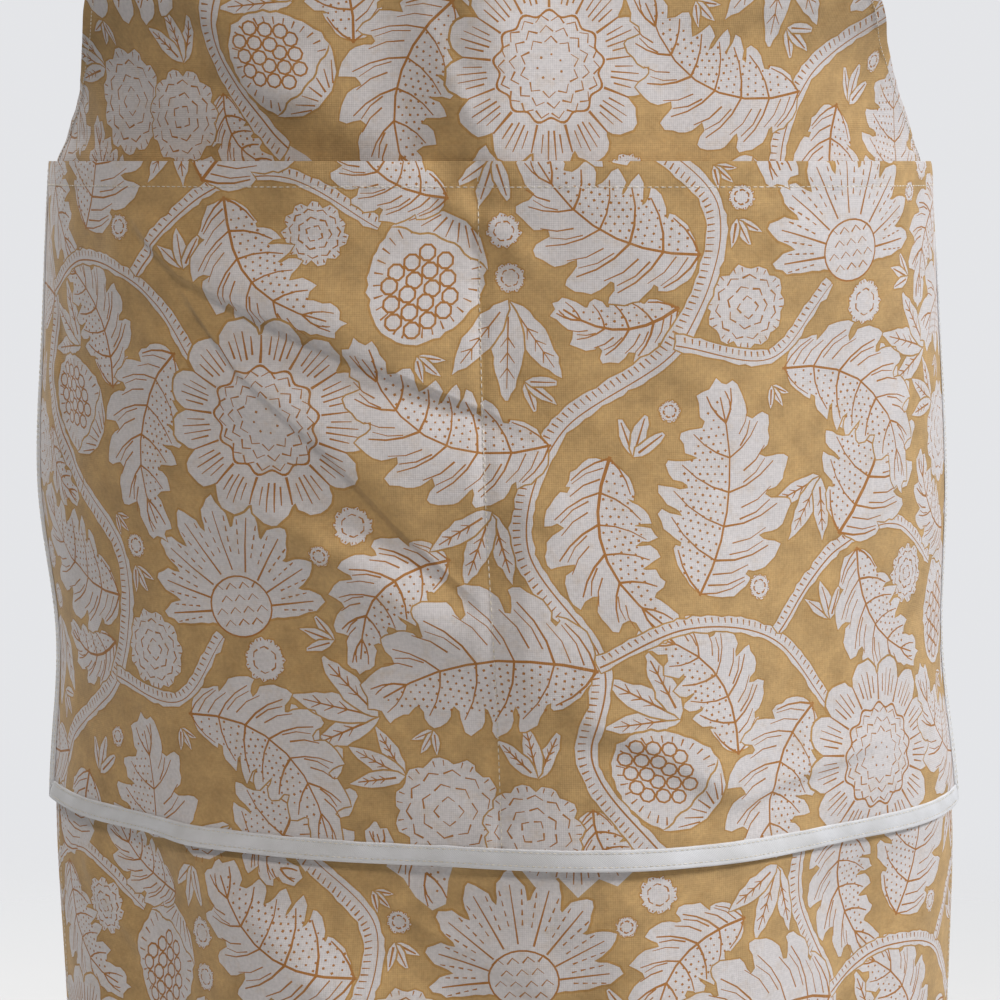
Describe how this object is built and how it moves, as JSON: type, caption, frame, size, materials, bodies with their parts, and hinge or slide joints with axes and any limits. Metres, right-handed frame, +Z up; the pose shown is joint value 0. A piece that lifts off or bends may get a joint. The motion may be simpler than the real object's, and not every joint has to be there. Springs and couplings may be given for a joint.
{
  "type": "bib apron",
  "caption": "Bib apron in printed cotton with a full-width double pocket, white bias binding, neck strap and waist ties, in its worn shape.",
  "frame": {"origin": "middle of the neck strap's inner face, where it rests on the wearer's nape", "axes": "+Z up, -Y the way the wearer faces, so +X is on the right of someone who looks at the apron's front"},
  "size_m": [0.4839, 0.2989, 1.017],
  "materials": {
    "printed_cotton": "matte plain weave, block printed",
    "white_binding": "matte plain weave, pressed"
  },
  "bodies": {
    "root": {"apron_body": "printed_cotton", "pocket_panel": "printed_cotton", "pocket_binding_bottom": "white_binding", "pocket_binding_left": "white_binding", "pocket_binding_right": "white_binding", "neck_strap": "printed_cotton", "waist_tie_left": "printed_cotton", "waist_tie_right": "printed_cotton", "tie_knot": "printed_cotton", "tie_end_left": "printed_cotton", "tie_end_right": "printed_cotton"}
  },
  "joints": []
}
